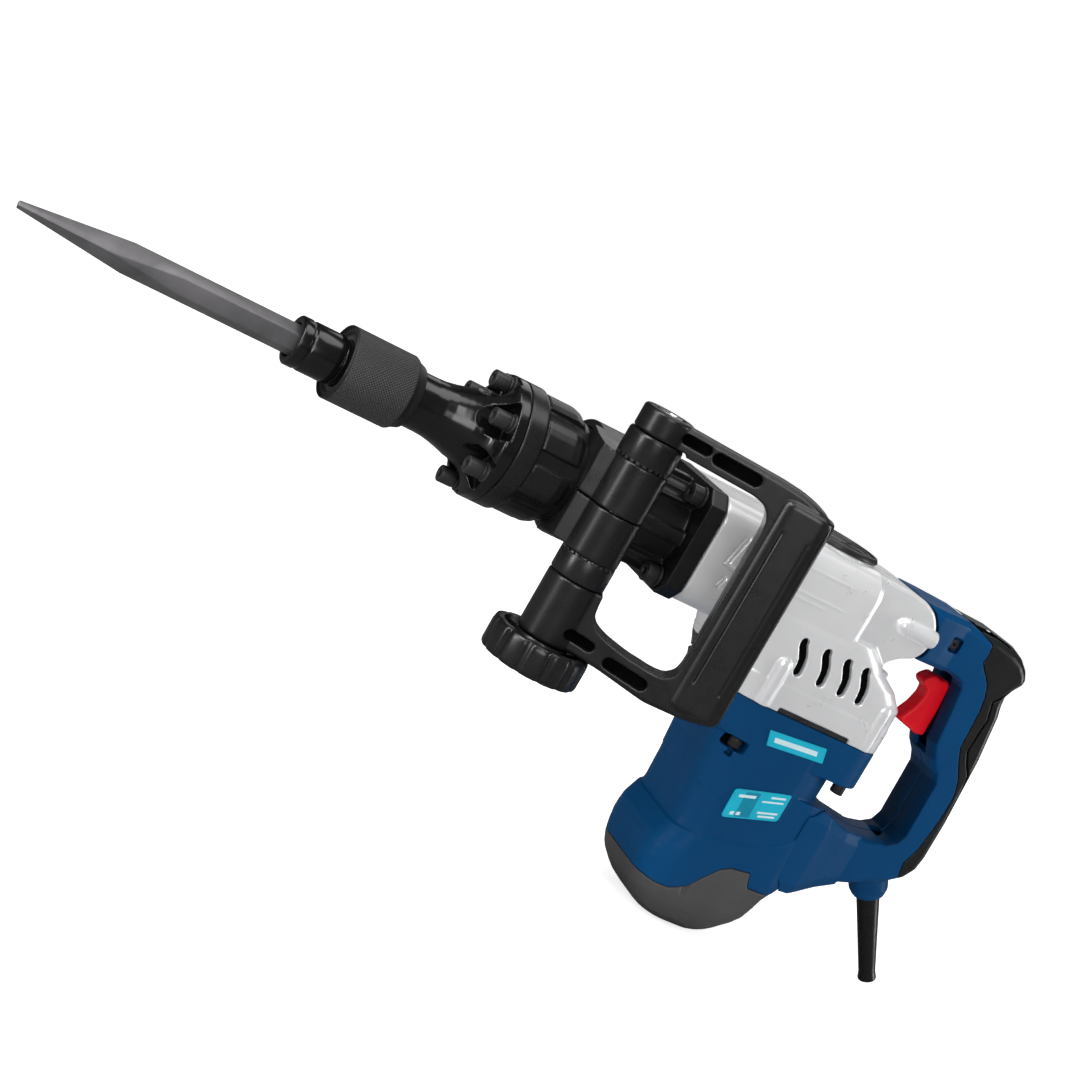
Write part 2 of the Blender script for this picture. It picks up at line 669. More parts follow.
# ------------------------------------------------------------------ cap screws
def cap_screw(node, centre, *, head, head_radius, socket, shank_radius, end, mat=OXIDE,
              washers=(), axis=ALONG_X, name=None):
    """Socket-head cap screw along its axis; lengths are measured from centre.

    head is (outer face, seat), socket is across flats, end is the shank's far end
    and washers are (start, end, radius) rings.
    """
    name = name or "vis_" + node
    top, seat = head
    sign = 1 if seat > top else -1
    profile = softened([(top, 0), (top, head_radius), (seat, head_radius), (seat, shank_radius),
                        (end, shank_radius), (end, 0)], 0.7, 3, closed=False)
    screw = to_object(name, turned(profile, centre, axis, 30), mat, origin=centre)
    along, across, up = axis
    socket_ring = [Vector(centre) + across * a + up * b for a, b in hexagon(socket, 0.2)]
    cut(screw, loft([[tuple(p + along * level) for p in socket_ring]
                     for level in (top - sign * 3.0, top + sign * 4.6)]))
    bevel(screw, width=0.18, segments=2, angle=40)
    stand_for(screw, node)
    inner = shank_radius + 0.2
    for k, (near, far, radius) in enumerate(washers, 1):
        ring = softened([(near, inner), (near, radius), (far, radius), (far, inner)], 0.35, 2)
        washer = to_object("%s_washer_%d" % (name, k),
                           turned(ring, centre, axis, 30, closed=True), mat, origin=centre)
        extra(washer, "housing")


for number, angle in enumerate(FRONT_BOLT_ANGLES, 1):
    cap_screw("front_bolt_%d" % number, (0, *polar(FRONT_BOLT_CIRCLE, angle)),
              head=(-20.8, -10.6), head_radius=5.4, socket=5.0, shank_radius=3.0, end=12.0,
              washers=((-10.3, -8.5, 5.1), (-8.3, -6.7, 6.3)))


# ------------------------------------------------------------------ hammer case
def lobed(count, tip, root, share, phase=0.0):
    """Ring of flat-topped lobes, each taking up a share of its pitch."""
    points = []
    for i in range(count):
        for edge, radius in ((-0.5, tip), (-0.25, tip + 0.3), (0.0, tip + 0.4), (0.25, tip + 0.3),
                             (0.5, tip), (0.56, root)):
            turn = 2 * math.pi * (i + phase + edge * share) / count
            points.append((radius * math.cos(turn), radius * math.sin(turn)))
        turn = 2 * math.pi * (i + phase + 1 - 0.56 * share) / count
        points.append((root * math.cos(turn), root * math.sin(turn)))
    return points


CASE_HOLES = [(0, y, z) for y in (-CASE_BOLT_AT, CASE_BOLT_AT)
              for z in (-CASE_BOLT_AT, CASE_BOLT_AT)]
FLANGE_Y, FLANGE_Z, FLANGE_CHAMFER = 42.0, 37.0, 9.0

case = to_object("vis_hammer_case", turned([
    (GAP / 2, 14.0), (GAP / 2, 39.6), (0.6, 40.0), (12.6, 40.0), (13.4, 39.2), (13.6, 37.4),
    (15.0, 36.0), (40.0, 34.4), (46.0, 33.6), (50.0, 32.0), (90.5, 32.0), (92.0, 29.5),
    (134.0, 29.5), (134.0, 14.0)], closed=True, steps=60), BLACK)
add(case, loft([[(x, y, z) for y, z in lobed(8, tip, root, 0.66, 0.25)]
                for x, tip, root in ((14.2, 37.8, 30), (15.4, 38.5, 30), (34.5, 38.5, 30),
                                     (39.5, 37.0, 30), (43.5, 33.6, 28))]))
add(case, prism(lobed(8, 33.4, 26.0, 0.34), 91.5, 132.0, "YZ"))
near_y, near_z = FLANGE_Y - FLANGE_CHAMFER, FLANGE_Z - FLANGE_CHAMFER
add(case, prism([(FLANGE_Y, -near_z), (FLANGE_Y, near_z), (near_y, FLANGE_Z),
                 (-near_y, FLANGE_Z), (-FLANGE_Y, near_z), (-FLANGE_Y, -near_z),
                 (-near_y, -FLANGE_Z), (near_y, -FLANGE_Z)], 128.0, 140.7, "YZ"))
cut(case, rod(-20.0, 160.0, 18.3, phase=0.37), rod(20.1, 160.0, 22.3, phase=0.37))
for hole in CASE_HOLES:
    cut(case, rod(100, 128.4, 7.9, hole, steps=20), rod(100, 150, 3.8, hole, steps=12))
cast(case, voxel=0.65, passes=3)
stand_for(case, "hammer_case")

# the upper bolt of each side comes first
for number, hole in enumerate((1, 0, 3, 2), 1):
    cap_screw("case_bolt_%d" % number, CASE_HOLES[hole], head=(117.6, 125.8), head_radius=6.3,
              socket=5.2, shank_radius=3.5, end=152.0, washers=((126.0, 127.9, 7.0),))

# ------------------------------------------------------------------ clamp band
band = to_object("vis_handle_clamp", turned([
    (53.0, 29.0), (53.0, 36.5), (54.5, 38.0), (86.5, 38.0), (88.0, 36.5), (88.0, 29.0)],
    closed=True, steps=60), BLACK, origin=(PIVOT_X, 0, 0))
# web from the bolt's barrel to the band: y, x from, x to, z from, z to
CLAMP_WEB = ((-60.0, 62.0, 80.0, -30.8, 31.4), (PIVOT_Y, 53.2, 88.6, -30.8, 31.4),
             (-37.0, 47.0, 90.0, -31.5, 32.5), (-24.0, 46.2, 90.0, -33.6, 34.6),
             (-12.0, 47.0, 88.0, -36.0, 37.0))
add(band, about_clamp([(-31.3, 17.0), (-30.6, STACK_R), (31.6, STACK_R), (32.2, 17.2)], 48),
    loft([[(x0, y, z0), (x1, y, z0), (x1, y, z1), (x0, y, z1)] for y, x0, x1, z0, z1 in CLAMP_WEB]),
    box(PIVOT_X - 14.0, PIVOT_X + 14.0, 24.0, 44.0, -9.0, 9.0))
cut(band, rod(40, 100, 32.5, steps=48), rod(-60, 60, 5.4, CLAMP, ALONG_Z, 20),
    box(30, 110, -90, -10, -0.55, 0.55))
cast(band, voxel=0.55, passes=3)
stand_for(band, "handle_clamp")


# ------------------------------------------------------------------ toothed ring and collar
def toothed(node, profile, teeth, bore):
    """Ring on the clamp bolt with square teeth; teeth and bore are z ranges."""
    outline = []
    for i in range(26):
        for edge, radius in ((-0.25, STACK_R - 0.1), (0.25, STACK_R - 0.1), (0.25, 15.6),
                             (0.75, 15.6)):
            turn = 2 * math.pi * (i + edge) / 26
            outline.append((PIVOT_X + radius * math.cos(turn),
                            PIVOT_Y + radius * math.sin(turn)))
    ring = to_object("vis_" + node, about_clamp(softened(profile, 0.5), 56, closed=True), BLACK,
                     origin=CLAMP)
    add(ring, prism(outline, *teeth, "XY"))
    cut(ring, rod(*bore, 5.6, CLAMP, ALONG_Z, 20))
    bevel(ring, width=0.25, segments=2, angle=40)
    stand_for(ring, node)


toothed("toothed_ring", [(33.6, 5.6), (33.6, 17.0), (34.0, STACK_R), (49.0, STACK_R),
                         (50.7, 17.2), (50.7, 5.6)], teeth=(32.4, 34.5), bore=(20, 60))
toothed("clamp_collar", [(-47.0, 5.6), (-47.0, 17.4), (-46.4, STACK_R), (-33.0, STACK_R),
                         (-32.8, 17.0), (-32.8, 5.6)], teeth=(-33.4, -31.5), bore=(-60, -20))

# ------------------------------------------------------------------ side handle
# outer and inner outlines of the D, as x, z
D_OUT = [(60, 65.8), (150, 65.7), (164, 64.8), (175, 62.6), (183.4, 59.4), (187.6, 55.6),
         (188.4, 50.0), (188.8, -60.0), (188.8, -81.0), (187.0, -85.0), (178, -87.8), (168, -90.0),
         (142, -92.2), (106, -88.1), (60, -88.1)]
D_IN = [(88, 49.5), (138, 49.5), (146, 47.4), (150.6, 41.5), (152.0, 33.0), (152.6, -60.0),
        (151.4, -68.0), (146, -72.8), (138, -73.6), (120, -72.6), (104, -70.0), (95, -66.5),
        (90.8, -60.0), (89.6, -50.0)]
# y from the pivot, inset of the outline
D_LAYERS = ((-11.5, 2.2), (-10.6, 0.9), (-8.5, 0.1), (8.5, 0.1), (10.6, 0.9), (11.5, 2.2))
# z, growth of the grip bar's section
BAR_LEVELS = ((-85.2, -1.8), (-84.2, -0.6), (-82.6, 0.0), (55.4, 0.0), (57.0, -0.6), (58.0, -1.8))
# slots sunk in both faces: centre x, centre z, length, end radius
FACE_SLOTS = ((93.0, 59.4, 20.0, 3.3), (121.0, 58.2, 33.0, 3.9),
              (90.0, -77.4, 21.0, 3.3), (124.0, -82.0, 31.0, 3.9))


def swing(obj):
    """Turns a piece drawn along +X outwards to its rest angle about the clamp bolt."""
    at = place(*CLAMP)
    turn = (Matrix.Translation(at) @ Matrix.Rotation(math.radians(-SWING_REST), 4, "Z")
            @ Matrix.Translation(-at))
    bpy.context.view_layer.update()
    obj.data.transform(obj.matrix_world.inverted() @ turn @ obj.matrix_world)
    return obj


handle = to_object("vis_side_handle", loft([
    [(x, PIVOT_Y + y, z) for x, z in rounded(inset(D_OUT[::-1], depth), 4, 3)]
    for y, depth in D_LAYERS]), BLACK, origin=CLAMP)
cut(handle, prism(rounded(D_IN[::-1], 4, 3), -90, 0),
    box(30, PIVOT_X + 8, -90, 0, -100, 100), box(30, 90.5, -90, 0, -47.5, 51.2))
add(handle, loft([[(x, y, z) for x, y in round_rect(151.8 - grow, 189.2 + grow,
                                                    PIVOT_Y - 14.0 - grow, PIVOT_Y + 14.0 + grow,
                                                    10.5 + grow * 0.4, 8)]
                  for z, grow in BAR_LEVELS]),
    about_clamp([(51.2, 15.7), (52.0, 16.8), (65.4, 16.8), (67.0, 15.4)], 48),
    about_clamp([(-88.0, 17.6), (-87.4, STACK_R), (-48.3, STACK_R), (-47.6, 17.2)], 48))
slot_floors = []
for x, z, length, radius in FACE_SLOTS:
    tilt = 0 if z > 0 else -4
    opening = slot(x, z, length, radius, tilt)
    floor_outline = slot(x, z, length - 0.3, radius - 0.15, tilt)
    cut(handle, prism(opening, PIVOT_Y - 30, PIVOT_Y - 3.0),
        prism(opening, PIVOT_Y + 3.0, PIVOT_Y + 30))
    slot_floors += [prism(floor_outline, PIVOT_Y - 3.8, PIVOT_Y - 2.4),
                    prism(floor_outline, PIVOT_Y + 2.4, PIVOT_Y + 3.8)]
# two narrow flutes down each face of the grip bar
for low, high in ((-30, -13.1), (12.6, 16.2)):
    for x0, x1 in ((161.6, 163.0), (178.6, 180.0)):
        cut(handle, box(x0, x1, PIVOT_Y + low, PIVOT_Y + high, -66, 40))
cut(handle, rod(-100, 100, 5.5, CLAMP, ALONG_Z, 20), rod(60.8, 90, 9.8, CLAMP, ALONG_Z, 28))
cast(handle, voxel=0.6, passes=6)
swing(handle)
stand_for(handle, "side_handle")
for k, shape in enumerate(slot_floors, 1):
    extra(swing(to_object("vis_side_handle_slot_%d" % k, shape, DARK)), "side_handle")

cap_screw("clamp_bolt", CLAMP, head=(67.0, 61.2), head_radius=8.4, socket=8.0,
          shank_radius=5.0, end=-104.0, mat=BRIGHT, axis=ALONG_Z)


# ------------------------------------------------------------------ clamp knob
def knob_ring(z, scale):
    """Circle with 13 narrow dents."""
    loop = []
    for i in range(234):
        turn = 2 * math.pi * i / 234
        wave = 0.5 - 0.5 * math.cos(13 * turn)
        radius = (KNOB_R - 1.7 * (wave ** 6)) * scale
        loop.append((PIVOT_X + radius * math.cos(turn), PIVOT_Y + radius * math.sin(turn), z))
    return loop


# z, scale of the ring
KNOB_LEVELS = ((-109.0, 0.925), (-108.7, 0.955), (-108.0, 0.978), (-106.8, 0.992),
               (-105.2, 1.0), (-92.6, 1.0), (-90.8, 0.992), (-89.4, 0.978), (-88.7, 0.958),
               (-88.4, 0.935))
knob = to_object("vis_clamp_knob", loft([knob_ring(*level) for level in KNOB_LEVELS]), BLACK,
                 origin=(PIVOT_X, PIVOT_Y, -99))
cut(knob, rod(-106.0, -80, 5.4, CLAMP, ALONG_Z, 20),
    about_clamp(softened([(-96.0, 0), (-96.0, 25.8), (-90.2, 26.6), (-80, 27.8), (-80, 0)], 0.8,
                         closed=False), 60))
add(knob, about_clamp(softened([(-97.0, 0), (-97.0, 19.4), (-88.9, 17.4), (-88.9, 0)], 0.8,
                               closed=False), 48))
for k in range(9):
    add(knob, spoke(CLAMP, 40 * k, 17, 27.5, 0.8, -97.0, -91.6))
cut(knob, rod(-104.6, -70, 5.4, CLAMP, ALONG_Z, 20))
stand_for(knob, "clamp_knob")

# ------------------------------------------------------------------ gear housing
gear = to_object("vis_gear_housing", loft([
    [(x, y * k, (z - 0.15) * k + 0.15) for y, z in round_rect(-43.0, 43.0, -36.0, 36.3, 16, 10)]
    for x, k in ((141.0, 0.985), (142.2, 1.0), (264.0, 1.0), (268.0, 0.97))]), SILVER)
lower = shell_loft((
    (SPLIT_Z, 203.0, 331.0, 45.0), (-52.6, 197.0, 331.0, 45.0), (-52.0, 197.2, 330.6, 44.6),
    (-39.0, 192.4, 330.4, 44.6), (-29.0, 189.4, 320.8, 44.6), (-21.0, 187.4, 307.0, 44.2),
    (-14.0, 186.4, 300.0, 43.6), (-8.0, 186.0, 292.0, 42.6, 20)))
# rear bridge towards the handle, as x, z
BRIDGE = [(250, 35.6), (296, 34.6), (309, 32.8), (318, 28.6), (324.5, 21), (327.5, 11), (326, 2),
          (321.5, -4.5), (312, -8.5), (304.5, -14.5), (303.5, -24), (250, -26)]
bridge = loft([[(x, y, z) for x, z in inset(rounded(BRIDGE[::-1], 3, 3), depth)] for y, depth in
               ((-28.0, 2.6), (-27.4, 1.2), (-25.8, 0.2), (25.8, 0.2), (27.4, 1.2), (28.0, 2.6))])
add(gear, lower, bridge, turned([(-15.0, 31.0), (37.2, 31.0), (37.7, 30.4)], CRANK, ALONG_Z, 60))
for _, sign in SIDES:
    # screw tunnels of the motor housing, domed at the top
    for x, y, radius in ((228.5, 40.2, 7.4), (312.0, 38.6, 7.4)):
        add(gear, turned([(SPLIT_Z, radius), (-41.0, radius), (-38.0, radius * 0.9),
                          (-35.6, radius * 0.62), (-34.4, radius * 0.2), (-34.3, 0)],
                         (x, sign * y, 0), ALONG_Z, 30))
    # screw boss lying along the bridge
    add(gear, turned([(294.6, 0), (295.0, 1.6), (296.4, 3.8), (298.8, 5.3), (301.6, 5.9),
                      (326.6, 5.9), (326.9, 5.4)], (0, sign * 27.0, 12.4), ALONG_X, 30))
    # long ribs on the barrel's flank
    for z, x0, x1 in ((21.3, 196.0, 250.0), (5.4, 196.0, 252.0), (1.2, 200.0, 240.0)):
        add(gear, loft([[(x, sign * (40.0 + out), z + rise) for out, rise in
                         ((0, -1.3), (3.0 + grow, -0.9), (3.5 + grow, 0), (3.0 + grow, 0.9),
                          (0, 1.3))]
                        for x, grow in ((x0, 0.0), (x1 - 8, 0.1), (x1, -0.9))]))
    # three short slanted ribs: centre x, centre z, width, height, tilt
    for x, z, width, height, tilt in ((159.6, 10.5, 2.2, 22.0, 13), (161.5, -0.6, 11.0, 2.0, 12),
                                      (160.2, -11.6, 2.0, 7.0, 20)):
        a, b = width / 2, height / 2
        add(gear, flank(tilted([(-a, -b), (a, -b), (a, b), (-a, b)], x, z, -tilt),
                        sign, 41.0, 43.9))
# bores and inner chambers
cut(gear,
    rod(130, 176, 22.3, phase=0.3),
    prism(round_rect(172.0, 262.0, -33.0, 33.0, 12), -22.0, 30.0, "XY"),
    rod(-20.0, 60.0, 26.5, CRANK, ALONG_Z),
    prism(round_rect(199.0, 310.5, -38.5, 38.5, 14.3), -90.0, -19.3, "XY"),
    rod(-21.0, -3.5, 30.4, CRANK, ALONG_Z, 36),
    prism(round_rect(252.0, 284.0, -15.0, 15.0, 8), -25.0, 6.0, "XY"),
    prism(round_rect(235.6, 267.0, -27.0, 27.0, 6), -7.9, 7.9, "XY"))
for hole in CASE_HOLES:
    cut(gear, rod(130, 153.0, 3.8, hole, steps=12))
for x, y, _ in MOTOR_BOLTS:
    for _, sign in SIDES:
        cut(gear, rod(-80, -52.0, 2.9, (x, sign * y, 0), ALONG_Z, 10))
# curved vents and a strip over the seam on each flank, with dark fillings
for side, sign in SIDES:
    for k, x in enumerate((234.0, 252.5, 269.5, 284.5), 1):
        bend = [(x, -22.6), (x + 0.4, -25.0), (x + 2.6, -28.6), (x + 4.6, -32.4),
                (x + 5.4, -35.5), (x + 5.8, -38.5), (x + 6.0, -41.6)]
        cut(gear, flank(ribbon(bend, 3.2), sign, 39.2, 52.0))
        extra(to_object("vis_vent_%s_%d" % (side, k), flank(ribbon(bend, 3.4), sign, 38.8, 40.6),
                        DARK), "housing")
    cut(gear, flank(round_rect(241.5, 299.0, -74.0, -66.6, 1.2, 3), sign, 42.6, 52.0))
    extra(to_object("vis_seam_strip_" + side,
                    flank(round_rect(242.2, 298.3, -69.8, -67.1, 0.8, 3), sign, 42.8, 44.1),
                    PLASTIC), "housing")
cast(gear, voxel=0.62, passes=3)
stand_for(gear, "gear_housing")

# ------------------------------------------------------------------ crank cover
lid = to_object("vis_crank_cover", turned(softened([
    (34.5, 0), (34.5, 22.0), (30.0, 22.0), (30.0, 26.0), (38.0, 26.0), (38.0, 31.4), (39.0, 31.8),
    (41.4, 30.4), (41.4, 28.2), (40.2, 27.6), (40.2, 25.6), (41.0, 25.2), (41.0, 23.2),
    (40.2, 22.8), (40.2, 17.0), (40.9, 16.6), (40.9, 15.0), (40.2, 14.6), (40.2, 8.6),
    (40.9, 8.2), (40.9, 0)], 0.35, closed=False), CRANK, ALONG_Z, 64), PLASTIC,
    origin=(CRANK_X, 0, 30))
for k in range(6):
    add(lid, spoke(CRANK, 60 * k + 15, 8, 24, 0.9, 39.8, 40.8))
stand_for(lid, "crank_cover")


# ------------------------------------------------------------------ motor housing
def barrel(z, x0, half, rear_radius):
    """Section with a round rear about the motor axis and rounded front corners."""
    points = []
    for i in range(17):
        turn = math.radians(-80 + 10 * i)
        points.append((MOTOR_X + rear_radius * math.cos(turn), rear_radius * math.sin(turn)))
    for y, start in ((half - 22.0, 90), (-(half - 22.0), 180)):
        for i in range(11):
            turn = math.radians(start + 90.0 * i / 10)
            points.append((x0 + 22.0 + 22.0 * math.cos(turn), y + 22.0 * math.sin(turn)))
    return [(x, y, z) for x, y in points]


motor = to_object("vis_motor_housing", loft([
    barrel(-80.0, 212.0, HALF_W, 46.4), barrel(-100.0, 217.0, HALF_W - 0.2, 46.4),
    barrel(-117.0, 220.6, HALF_W - 0.5, 46.2), barrel(-135.0, 222.0, HALF_W - 0.7, 46.0)]), BLUE)
# skirt shared with the tail cover: z, front x, rear x, half width
SKIRT = ((-184.0, 216.6, 317.0, 46.2), (-190.0, 216.6, 313.5, 46.0), (-198.0, 217.4, 311.0, 45.6),
         (-206.0, 219.0, 308.0, 45.0))
add(motor,
    shell_loft(((SPLIT_Z - 0.5, 203.2, 330.8, HALF_W - 0.2), (SPLIT_Z - 1.1, 203.4, 331.0, HALF_W),
                (-84.0, 208.6, 331.0, HALF_W), (-96.4, 213.8, 331.0, HALF_W),
                (-97.2, 214.6, 330.4, HALF_W - 0.4))),
    shell_loft(((-117.0, 220.9, 321.0, HALF_W - 0.8), (-140.0, 223.0, 321.0, HALF_W - 0.8),
                (-160.0, 224.0, 321.0, HALF_W - 0.5), (-166.0, 223.4, 321.0, HALF_W),
                (-173.0, 219.4, 321.0, 45.8), (-178.0, 217.4, 320.5, 46.0), *SKIRT)))
# the skirt swells a little below a sweeping crease on both flanks, as x, z
CREASE = [(200, -166), (224, -166), (246, -163), (262, -160.5), (278, -158.0), (294, -151.8),
          (303, -144), (307.5, -137), (314, -130), (324, -124.5), (324, -230), (200, -230)]
swell = to_object("swell", shell_loft((
    (-118.0, 240.0, 321.2, 45.4), (-160.0, 224.0, 321.2, 45.6), (-178.0, 217.4, 320.7, 46.4),
    (-190.0, 216.6, 313.7, 46.4), (-206.0, 219.0, 308.2, 45.4))), BLUE)
keep(swell, prism(rounded(CREASE[::-1], 3, 3), -70, 70))
boolean(motor, swell, "UNION")
# seam between motor housing and tail cover, as x, z
SEAM = [(190, -203), (228, -204.5), (238, -203.5), (249, -198.3), (257, -188), (265, -179),
        (271, -175.5), (286, -173.6), (289.5, -183.6), (294.5, -183.2), (308, -184.0), (350, -176)]
cut(motor, prism(SEAM + [(350, -240), (190, -240)], -60, 60),
    rod(-240, -60, 39.0, MOTOR, ALONG_Z, 40, phase=0.3),
    prism(round_rect(222.0, 314.0, -36.0, 36.0, 16), -84.0, -60.0, "XY"))
for x, y, _ in MOTOR_BOLTS:
    for _, sign in SIDES:
        cut(motor, rod(-110, -60, 3.4, (x, sign * y, 0), ALONG_Z, 12))
for _, sign in SIDES:
    cut(motor, flank(round_rect(221.6, 237.0, -105.2, -96.6, 2.2, 4), sign, 33.0, 60.0))
cast(motor, voxel=0.62, passes=3)
stand_for(motor, "motor_housing")
WELL = [(222.4, -104.8), (236.4, -104.8), (236.4, -96.9), (222.4, -96.9)]
for side, sign in SIDES:
    extra(to_object("vis_screw_well_" + side,
                    prism(rounded(WELL, 1.6, 3), sign * 33.6, sign * 34.6), DARK),
          "housing")

# ------------------------------------------------------------------ tail cover
tail = to_object("vis_tail_cover", shell_loft((
    (-160.0, 218.0, 320.0, 46.0), (-178.0, 217.0, 320.3, 46.0), *SKIRT,
    (-212.0, 221.0, 304.0, 43.4), (-215.4, 223.0, 301.2, 42.0), (-216.6, 224.0, 300.4, 41.2),
    (-221.0, 228.0, 297.2, 38.6, 21.0), (-225.0, 232.4, 293.8, 35.6, 20.0),
    (-228.4, 238.0, 290.6, 31.0, 18.0), (-230.6, 243.0, 287.4, 27.0, 16.0),
    (-232.0, 249.0, 283.0, 22.0, 12.0))), GREY)
cut(tail, prism([(x, z - 0.45) for x, z in SEAM] + [(350, -100), (190, -100)], -60, 60),
    rod(-222, -150, 34.0, MOTOR, ALONG_Z, phase=0.3))
cut(tail, rod(-188.0, -140, 39.0, MOTOR, ALONG_Z, 36, phase=0.3))
add(tail, rod(-223.0, -194.6, 16.0, MOTOR, ALONG_Z, 24))
cut(tail, rod(-209.0, -190, 11.3, MOTOR, ALONG_Z, 20))
for _, sign in SIDES:
    cut(tail, flank([(242.2, -190), (248.8, -190), (257.4, -214.6), (251.4, -214.6)],
                    sign, 44.4, 60.0),
        flank(round_rect(205, 330, -217.4, -216.2, 0.5, 2), sign, 40.9, 60.0))
for k in range(5):
    cut(tail, prism(slot(266.0, (k - 2) * 8.0, 26.0, 1.5), -240, -231.0, "XY"))
cast(tail, voxel=0.6, passes=2)
stand_for(tail, "tail_cover")

number = 0
for x, y, seat in MOTOR_BOLTS:
    for _, sign in SIDES:
        number += 1
        cap_screw("motor_bolt_%d" % number, (x, sign * y, 0), head=(seat - 6.6, seat),
                  head_radius=4.5, socket=3.8, shank_radius=2.5, end=-54.0, mat=PLASTIC,
                  axis=ALONG_Z)


# ------------------------------------------------------------------ plates on the left flank
def plate(name, points, y, thick, mat, radius):
    """Thin plate standing out from y towards the left."""
    layers = ((y, 0.0), (y - thick * 0.7, 0.0), (y - thick, thick * 0.3))
    extra(to_object(name, loft([[(x, level, z) for x, z in inset(rounded(points, radius, 4), d)]
                                for level, d in layers]), mat), "housing")


def between(start, end, share):
    return tuple(a + (b - a) * share for a, b in zip(start, end))


def patch(corners, u0, u1, v0, v1):
    """Sub-quad of a quad given by (bottom-left, bottom-right, top-right, top-left)."""
    bottom_left, bottom_right, top_right, top_left = corners
    return [between(between(bottom_left, bottom_right, u), between(top_left, top_right, u), v)
            for u, v in ((u0, v0), (u1, v0), (u1, v1), (u0, v1))]


NAME_PLATE = [(247.0, -92.4), (290.0, -88.4), (287.4, -78.4), (243.8, -82.2)]
RATING = [(245.0, -147.0), (283.4, -135.4), (283.2, -115.2), (244.2, -126.2)]
# bars on the rating plate: u from, u to, v from, v to
RATING_BARS = ((0.10, 0.40, 0.74, 0.84), (0.66, 0.92, 0.80, 0.87), (0.54, 0.92, 0.64, 0.70),
               (0.56, 0.92, 0.24, 0.31), (0.60, 0.90, 0.11, 0.18), (0.10, 0.17, 0.12, 0.24),
               (0.21, 0.28, 0.12, 0.24))
# name, outline, y, thickness, material, corner radius
PLATES = [
    ("name_plate", NAME_PLATE, -44.4, 1.7, PLATE, 0.8),
    ("name_plate_bar", patch(NAME_PLATE, 0.10, 0.86, 0.34, 0.66), -46.02, 0.2, PLATE_PALE, 0.5),
    ("rating_plate", RATING, -43.9, 2.0, PLATE, 2.4),
    ("rating_band", patch(RATING, 0.20, 0.46, 0.06, 0.94), -45.82, 0.18, PLATE_DARK, 1.0)]
PLATES += [("rating_bar_%d" % k, patch(RATING, *bar), -45.9, 0.2, PLATE_PALE, 0.4)
           for k, bar in enumerate(RATING_BARS, 1)]
for name, *row in PLATES:
    plate("vis_" + name, *row)

# ------------------------------------------------------------------ rear handle
# x, z, 1 on the outer run of the D and 0 on its inner run
PROFILE = [
    (298, 33.0, 1), (350, 33.2, 1), (378, 32.6, 1), (394, 30.2, 1), (404, 26.0, 1),
    (411, 20.5, 1), (414.6, 14.6, 1), (414.2, 9.6, 1), (409.5, 2.6, 1), (407.6, -2.0, 1),
    (408.6, -8.0, 1), (411, -15.0, 1), (416, -48.0, 1), (419.3, -96.0, 1), (419.6, -124.0, 1),
    (418.0, -135.0, 1), (412, -144.2, 1), (400, -152.5, 1), (376, -163.0, 1), (321.4, -178.5, 0),
    (321.4, -118.5, 0), (345, -126.5, 0), (360, -128.4, 0), (372, -127.5, 0), (382, -125.4, 0),
    (388.6, -121.5, 0), (391.3, -115.0, 0), (390.2, -74.0, 0), (387, -68, 0), (380.5, -61.5, 0),
    (374, -50.0, 0), (370.5, -24.0, 0), (368, -9.0, 0), (366, -6, 0), (361, -4.4, 0),
    (298, -4.4, 0)][::-1]
FLAT = [(x, z) for x, z, _ in PROFILE]
CORD_TOP, CORD_END = Vector((407.0, 0.0, -169.0)), Vector((441.5, 0.0, -222.5))
CORD_DIR = (CORD_END - CORD_TOP).normalized()
ALONG_CORD = (CORD_DIR, Vector((0, 1, 0)), Vector((CORD_DIR.z, 0, -CORD_DIR.x)))
# what the gear housing's bridge takes out of the upper arm, as x, z
WALL_FACE = [(280, 45), (297, 45), (297.8, 34.8), (309.8, 33.2), (318.9, 29.0), (325.6, 21.3),
             (328.8, 11.1), (327.3, 1.5), (322.4, -5.6), (312, -12.4), (280, -12.4)]
# distance from the mid-plane, inset of the outline
SLICES = ((21.0, 7.2), (20.5, 5.7), (19.6, 4.4), (18.2, 3.1), (16.4, 1.95), (14.4, 0.95),
          (12.2, 0.3), (10.0, 0.0))
SLICES = [(-y, depth) for y, depth in SLICES] + list(reversed(SLICES))
# arm sections: x, half width, bulge, top z, bottom z
LOWER_ARM = ((303.0, 41.2, 3.6, -117.2, -179.0), (312.0, 41.0, 3.6, -117.8, -178.8),
             (321.4, 40.6, 3.6, -119.0, -178.3), (325.0, 39.0, 3.5, -120.4, -177.2),
             (334.0, 33.6, 3.2, -123.4, -174.8), (348.0, 25.6, 2.6, -127.0, -170.8),
             (366.0, 18.0, 2.0, -128.2, -165.6))
UPPER_ARM = ((298, 24.5, 3, 32.7, -4.0), (326, 24.2, 3, 32.8, -4.1),
             (338, 21.6, 3, 32.85, -4.15), (352, 17.4, 3, 32.9, -4.2))


def side_outline(depth):
    """Profile inset by depth, but by only a third of it on the inner run."""
    return [whole if outer or whole[0] <= 322 else third for whole, third, (_, _, outer)
            in zip(inset(FLAT, depth), inset(FLAT, depth * 0.34), PROFILE)]


def arm(rows, drop, rise):
    """Eight-sided arm; its sides start drop below the top and end rise above the bottom."""
    return loft([[(x, -w, top), (x, w, top), (x, w + bulge, top - drop),
                  (x, w + bulge, low + rise), (x, w, low), (x, -w, low),
                  (x, -w - bulge, low + rise), (x, -w - bulge, top - drop)]
                 for x, w, bulge, top, low in rows])


